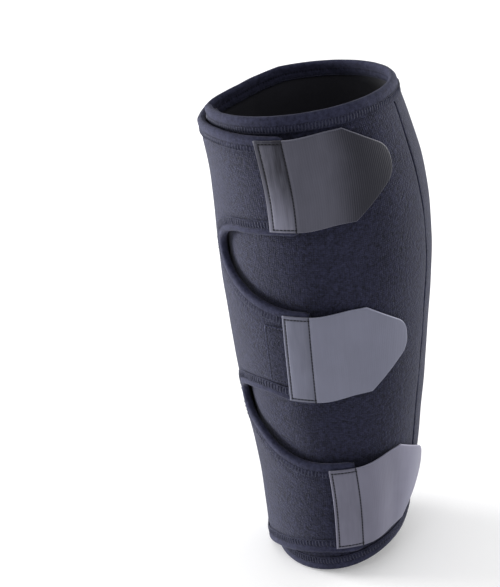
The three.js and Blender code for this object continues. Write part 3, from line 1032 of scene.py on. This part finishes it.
# Seam: the two panels meet edge to edge on the right. The outside shows only the groove, and the
# lining's side shows the zigzag of the blind stitch that joins them.
seam_pitch = 2.6
seam_reach = 3.2
seam_ends = 11.0
zig_low, zig_high = -0.2, 0.2


def seam_row(height):
    """Points one stitch apart on the seam, with their directions along it and out of it."""
    z = spaced(foot_line[0, 1] + seam_ends, top_line[0, 1] - seam_ends, seam_pitch)
    turn = slanted(np.full(len(z), seam_turn), z)
    spots, above = place(turn, z, height), place(turn, z, height + 1)
    return spots, np.gradient(spots, axis=0), above - spots


zig_start = (-seam_pitch / 2, -seam_reach / 2, zig_low)
zig_turn = (0, seam_reach / 2, zig_low)
zig_end = (seam_pitch / 2, -seam_reach / 2, zig_low)
zigzag = stitch_shape(
    "zigzag_stitch",
    [
        strand([zig_start, (-seam_pitch / 4, -seam_reach / 4, zig_high), zig_turn]),
        strand([zig_turn, (seam_pitch / 4, seam_reach / 4, zig_high), zig_end]),
    ],
)
spots, run, out = seam_row(0.0)
seam_thread = sew("side_seam_zigzag", spots, run, -out, zigzag, cover_thread, 0.05, 61)
bpy.data.objects.remove(zigzag)


# Middle patch: a second layer of loop pile on the middle tongue, sewn between its two tapes. It
# ends under the middle tab.
patch_length = 31.0
patch_cloth = 1.0
patch_inset, patch_end_inset = 1.5, 1.0
patch_below, patch_above = 12.4, 9.8
patch_grid = 1.3
patch_base = panel_thickness + 0.15
patch_wave, patch_wave_size = 0.08, 14
patch_round = 0.8
patch_rim, patch_groove = 0.4, 0.5
patch_thread_depth = 0.25
lock_pitch = 2.1
lock_reach, lock_dive = 0.85, 0.5
lock_low, lock_high = -0.3, 0.08
lock_radius = 0.3
lock_pull = 0.42


def patch_finish():
    """The same pile as the panels', but finer. A painted highlight lightens a band along its
    raised cut edge, a painted shadow darkens the edge's foot, and painted shade darkens its sewn
    lines.
    """
    fine = Finish("patch_pile", 0.95, specular=0.15, sheen=0.1, tint=(0.75, 0.78, 1.0))
    tufts = fine.noise(0.0009, 3)
    loops = fine.loops(0.0007)
    edge_gap = fine.kept("edge_gap")
    # painted highlight in a band along the raised edge, painted shadow at the edge's foot, and
    # painted shade along the sewn lines
    edge_highlight_and_shadow = edge_gap.near(0.0016) * 0.8 - edge_gap.near(0.00035) * 1.6
    painted_edge_light_and_groove_shade = edge_highlight_and_shadow - fine.kept("lock_gap").near(0.001) * 0.2
    mottle = ((tufts - 0.5) * 2.0 + 0.5 - loops * 0.3 + painted_edge_light_and_groove_shade).clamped()
    return fine.finish(
        fine.between(mottle, (0.0058, 0.0061, 0.0136), (0.0265, 0.0282, 0.0575)),
        tufts + loops * -0.7,
        depth=0.0007,
        strength=0.8,
    )


def closed_sheet(name, outline, grid, kept, materials, lower, upper, lines):
    """A closed sheet over a flat outline. Lower and upper give its faces' points from flat places,
    and the sheet keeps how far each point is from its cut edge and from its sewn lines."""
    flat, triangles = cut_cloth(outline, grid, np.vstack(kept))
    edge_gap = to_line(flat, np.vstack([outline, outline[:1]]))
    faces = upper(flat, edge_gap), lower(flat, edge_gap)
    kinds = (0, len(materials) - 1, 0)
    piece = sheet_piece(name, flat, triangles, *faces, materials, kinds)
    edge_gap, lock_gap = (np.tile(gap, 2) * MM for gap in (edge_gap, to_lines(flat, lines)))
    keep(piece, edge_gap=edge_gap, lock_gap=lock_gap)
    return piece


def inset(outline, distance):
    """An outline moved inwards."""
    way = np.roll(outline, -1, 0) - np.roll(outline, 1, 0)
    way /= np.linalg.norm(way, axis=1)[:, None]
    return outline + distance * np.stack([-way[:, 1], way[:, 0]], -1)


def lock_line(start, end):
    """Flat points one stitch apart."""
    start, end = np.array(start, float), np.array(end, float)
    share = np.linspace(0, 1, max(2, int(round(np.linalg.norm(end - start) / lock_pitch)) + 1))
    return start + share[:, None] * (end - start)


def groove(flat, lines, radius):
    """How far a lockstitch pulls the cloth down near its lines."""
    return lock_pull * np.exp(-((to_lines(flat, lines) / radius) ** 2))


def lock_rows(name, lines, surface, thread, seed):
    """Lockstitches along flat lines. The surface gives points from flat places and heights."""
    spots = [surface(line, 0.0) for line in lines]
    run = [np.gradient(on_line, axis=0) for on_line in spots]
    out = [surface(line, 1.0) - on_line for line, on_line in zip(lines, spots)]
    over = [
        (-lock_reach, 0, lock_low), (-lock_dive, 0, lock_high),
        (lock_dive, 0, lock_high), (lock_reach, 0, lock_low),
    ]
    shape = stitch_shape("lock_stitch", [strand(over, lock_radius, 6)])
    locks = sew(name, np.vstack(spots), np.vstack(run), np.vstack(out), shape, thread, 0.06, seed)
    bpy.data.objects.remove(shape)
    return locks


middle_low, middle_high = tongue_edges("middle")
middle_level = tongues["middle"][1] * wrap_length
patch_end = float(tongue_end("middle", middle_level))
patch_start = float(turn_after(patch_end, middle_level, -patch_length, tab_on_tongue))
patch_low, patch_high = middle_low + patch_below, middle_high - patch_above
patch_left, patch_right = patch_start * flat_scale, patch_end * flat_scale
patch_corners = [
    (patch_left, patch_low), (patch_right, patch_low),
    (patch_right, patch_high), (patch_left, patch_high),
]
patch_sides = zip(patch_corners, patch_corners[1:] + patch_corners[:1])
patch_outline = np.vstack([straight(*ends, patch_grid)[:-1] for ends in patch_sides])
patch_sewn = [
    (patch_right - patch_end_inset, patch_low + patch_inset),
    (patch_left + patch_inset, patch_low + patch_inset),
    (patch_left + patch_inset, patch_high - patch_inset),
    (patch_right - patch_end_inset, patch_high - patch_inset),
]
patch_lines = [lock_line(*ends) for ends in zip(patch_sewn, patch_sewn[1:])]


def patch_lower(flat, gap, height=patch_base):
    turn, z = flat[:, 0] / flat_scale, flat[:, 1]
    return layer(turn, z, height + patch_wave * (1 + ripple(turn, z, 9, patch_wave_size)))


def patch_upper(flat, gap):
    sunk = patch_round * rounding(gap, patch_round) + groove(flat, patch_lines, patch_groove)
    return patch_lower(flat, gap, patch_base + patch_cloth - sunk)


def on_patch(flat, height):
    thread_base = patch_base + patch_cloth - patch_thread_depth
    return layer(flat[:, 0] / flat_scale, flat[:, 1], thread_base + height)


patch_rings = (patch_rim, patch_inset - patch_groove, patch_inset, patch_inset + patch_groove)
patch = closed_sheet(
    "middle_patch_cloth",
    patch_outline,
    patch_grid,
    [inset(patch_outline, ring) for ring in patch_rings],
    (patch_finish(),),
    patch_lower,
    patch_upper,
    patch_lines,
)
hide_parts("middle_patch")
round(patch_high - patch_low, 3) * MM
patch_thread = thread_finish("patch_thread", (0.009, 0.0095, 0.019), (0.021, 0.022, 0.043))
patch_locks = lock_rows("middle_patch_lockstitch", patch_lines, on_patch, patch_thread, 90)


# Hook tabs: each is one stiff piece of laminated hook tape with cut corners and a round nose. Its
# left end is sewn flat on a tongue, and from there it steps down and grips the front panel's pile.
tab_length = 76.5
tab_cloth = 1.4
tab_shoulder = 49.5
tab_nose = 20.5
tab_grid = 1.7
tab_step = 1.2
# the slopes of the lower and the upper cut, with the nose's radii
tab_cuts = ((0.815, 13.5), (0.683, 14.0))
tab_rise = 0.7
tab_step_start = tab_strip + 1.0
tab_step_down = 25.0
tab_round = 0.6
tab_rings = (0.35, 0.8)
tab_groove = 0.42
tab_thread_depth = 0.3
tab_wave_size, tab_wave_stretch = 34, 0.5
nose_step, nose_points = 1.0, 12
# the strip's padding, and how far from the tab's sides it starts and is full
pad_height, pad_spread = 0.2, 6.0
pad_start, pad_full = 2, 6
lock_side_inset, lock_end_inset = 1.8, 0.6
# the rows of points that shape a sewn line's groove
beside_pitch, beside_steps = 0.9, (-0.7, -0.35, 0.0, 0.35, 0.7)
# each tab's finish: how strong its ribs and streaks are, and how much lighter its nose, its strip,
# its strip's low and left ends and its selvage are. The nose's shift is painted shade on the top
# and middle tabs and painted light on the bottom tab, the strip's is painted shade, and the ends'
# is a painted sheen.
tab_looks = {
    "top": {
        "material": "dark_tab", "slot": "dark_hook_tape", "lock_inset": 2.9, "fold": 0.25,
        "dark": (0.013, 0.013, 0.022), "light": (0.145, 0.145, 0.192),
        "ribs": 1.0, "streaks": 0.5, "nose": -0.55, "strip": -0.22,
        "low_end_painted_sheen": 0.85, "left_end_painted_sheen": 0.35, "selvage": -0.3,
    },
    "middle": {
        "material": "pale_tab", "slot": "pale_hook_tape", "lock_inset": 1.9, "fold": 0.15,
        "dark": (0.086, 0.089, 0.123), "light": (0.258, 0.266, 0.357),
        "ribs": 0.1, "streaks": 0.15, "nose": -0.04, "strip": -0.2,
        "low_end_painted_sheen": 0.03, "left_end_painted_sheen": 0.05, "selvage": -0.1,
    },
    # a copy of the pale tab's finish, with painted light on its nose
    "bottom": {
        "material": "pale_tab_low_painted_nose_light", "slot": "pale_hook_tape", "lock_inset": 1.9, "fold": 0.55,
        "dark": (0.08, 0.079, 0.108), "light": (0.24, 0.237, 0.318),
        "ribs": 0.1, "streaks": 0.15, "nose": 0.26, "strip": -0.14,
        "low_end_painted_sheen": 0.03, "left_end_painted_sheen": 0.05, "selvage": -0.1,
    },
}


def tab_half_width(distance, cut, radius):
    """From a tab's middle line to its side, which is cut at a slope and ends in a round nose."""
    steep = math.hypot(1, cut)
    straight_side = tab_width / 2 - cut * (distance - tab_shoulder)
    middle = tab_width / 2 - cut * (tab_length - tab_shoulder - radius) - radius * steep
    past = distance - (tab_length - radius)
    nose = middle + np.sqrt(np.clip(radius**2 - past**2, 0, None))
    side = np.where(past < radius * cut / steep, straight_side, nose)
    return np.where(distance <= tab_shoulder, tab_width / 2, side)


def stepped(distance):
    """From 0 on the tongue to 1 on the front panel."""
    return ease(distance, tab_step_start, tab_step_start + tab_step_down)


def tab_point(name, flat, height):
    """Points on a tab from its own lengths: from the sewn end, and up from its middle."""
    turn, tongue_level, tilt, lean, _, tip = tongues[name]
    tilt, lean = math.radians(tilt), math.radians(lean)
    distance, across = flat[:, 0], flat[:, 1]
    on_strip = np.minimum(distance, tab_strip)
    z = tongue_level * wrap_length + tab_rise
    z = z + distance * math.sin(tilt) + across * math.cos(lean)
    start = on_strip * math.cos(tilt) - across * math.sin(lean)
    free = np.maximum(0, (distance - tab_shoulder) / (tab_length - tab_shoulder))
    base = tab_on_tongue + (tab_on_panel - tab_on_tongue) * stepped(distance) + free**2 * tip
    reached = turn_after(turn, z, start, tab_on_tongue)
    reached = turn_after(reached, z, (distance - on_strip) * math.cos(tilt), tab_on_panel)
    return place(reached, z, base + height)


def strip_lines(left):
    """The four sewn lines of a tab's strip."""
    high, end = tab_width / 2 - lock_side_inset, tab_width / 2 - lock_end_inset
    return [
        lock_line((left, -high), (left, high)),
        lock_line((left, high), (tab_strip, high)),
        lock_line((left, -high), (tab_strip, -high)),
        lock_line((tab_strip, -end), (tab_strip, end)),
    ]


def tab_finish(look):
    """Woven nylon laminate. Ribs run up the tab, and its cut edge is paler. Painted shade darkens
    its strip and the top tab's nose, and painted light lightens the bottom tab's nose. A painted
    sheen lightens the strip towards its low and its left end, and painted shade darkens its sewn
    grooves."""
    woven = Finish(look["material"], 0.5, specular=0.25, sheen=0.06, fuzz=0.4)
    length, across = woven.on_cloth()
    gap = woven.kept("edge_gap")
    rib = (length + woven.noise(0.02, 1) * 0.002).wave(0.00125)
    haze = woven.noise(0.012, 2) - 0.5
    streak = woven.noise(0.0012, 2, (1, 1, 0.12))
    nose = ((length - 0.036 + haze * 0.02) / 0.022).clamped()
    strip = (1.0 - (length - 0.016) / 0.001).clamped()
    # a painted sheen lightens the strip towards its low and its left end
    low_end_painted_sheen = ((0.01 - across) / 0.04).clamped()
    left_end_painted_sheen = 0.5 - length / (tab_strip * MM)
    # painted shade: the strip's own shift darkens the strip against the key light it faces
    on_strip = (
        look["strip"] + low_end_painted_sheen * look["low_end_painted_sheen"] + left_end_painted_sheen * look["left_end_painted_sheen"]
        + gap.near(0.0018) * look["selvage"]
    )
    share = (
        0.42 + haze * 0.25 + (rib - 0.5) * (nose * 0.2 + 0.04) * look["ribs"]
        + (streak - 0.5) * (0.12 + strip * look["streaks"])
        # painted shade darkens the nose of the top and middle tabs, and painted light lightens the
        # bottom tab's nose
        + nose * look["nose"] + strip * on_strip
        + gap.near(0.0006) * (0.5 - strip * 0.3 + nose * 0.5)
        # painted shade in the grooves of the sewn lines
        - woven.kept("lock_gap").near(0.0008) * 0.4
    ).clamped()
    weave = across.wave(0.0006) * 0.3 + rib * 0.7
    return woven.finish(
        woven.between(share, look["dark"], look["light"]),
        weave * (0.25 + nose * 0.5 * look["ribs"]) + streak * 0.4,
        depth=0.00025,
        strength=0.5,
        roughness=0.52 + haze * 0.15,
    )


def hook_finish():
    """The underside: rows of fine nylon hooks."""
    hooks = Finish("hook_side", 0.5)
    rows = hooks.loops(0.0012)
    colour = hooks.between(rows, (0.02, 0.02, 0.024), (0.06, 0.06, 0.07))
    return hooks.finish(colour, rows * -1.0, depth=0.0006, strength=0.9)


nose_start = tab_shoulder + tab_nose
nose_share = np.sin(np.linspace(0, math.pi / 2, nose_points))[1:]
side_steps = np.concatenate(
    [
        spaced(0, tab_shoulder, tab_step),
        spaced(tab_shoulder, nose_start, tab_step)[1:],
        nose_start + (tab_length - nose_start) * nose_share,
    ]
)
low_half, high_half = (tab_half_width(side_steps, *cut) for cut in tab_cuts)
tab_outline = np.vstack(
    [
        np.stack([side_steps, -low_half], -1),
        straight((tab_length, -low_half[-1]), (tab_length, high_half[-1]), nose_step)[1:-1],
        np.stack([side_steps, high_half], -1)[::-1],
        straight((0, tab_width / 2), (0, -tab_width / 2), tab_step)[1:-1],
    ]
)
hooks = hook_finish()
lock_thread = thread_finish("lock_thread", (0.002, 0.002, 0.004), (0.006, 0.006, 0.011))


def pad(flat):
    """The strip's padding between its sewn lines."""
    swell = np.exp(-(((flat[:, 0] - tab_strip / 2) / pad_spread) ** 2))
    return pad_height * swell * ease(tab_width / 2 - np.abs(flat[:, 1]), pad_start, pad_full)


def beside(line):
    """Rows of points on a sewn line and close to it on both sides, for its groove."""
    length = np.linalg.norm(line[-1] - line[0])
    way = (line[-1] - line[0]) / length
    on_line = line[0] + np.arange(0, length, beside_pitch)[:, None] * way
    sideways = np.array([-way[1], way[0]])
    return [on_line + step * sideways for step in beside_steps]


def hook_tab(name, look, seed):
    """A tab and its lockstitches."""
    sewn_lines = strip_lines(look["lock_inset"])
    kept = [inset(tab_outline, ring) for ring in tab_rings]
    for line in sewn_lines:
        kept += beside(line)

    def lift(flat):
        across = flat[:, 1] * tab_wave_stretch
        waves = 1 + ripple(flat[:, 0], across, 70 + seed, tab_wave_size)
        return look["fold"] * stepped(flat[:, 0]) * waves

    def lower(flat, gap):
        return tab_point(name, flat, lift(flat))

    def upper(flat, gap):
        sunk = groove(flat, sewn_lines, tab_groove) + tab_round * rounding(gap, tab_round)
        return tab_point(name, flat, tab_cloth + lift(flat) + pad(flat) - sunk)

    def on_strip(flat, height):
        return tab_point(name, flat, tab_cloth - tab_thread_depth + pad(flat) + height)

    materials = (tab_finish(look), hooks)
    tab = closed_sheet(
        f"{name}_hook_tab", tab_outline, tab_grid, kept, materials, lower, upper, sewn_lines
    )
    locks = lock_rows(f"{name}_tab_lockstitch", sewn_lines, on_strip, lock_thread, 80 + seed)
    return tab, locks


for seed, (name, look) in enumerate(tab_looks.items()):
    tab, locks = hook_tab(name, look, seed)
    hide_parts(name + "_tab")
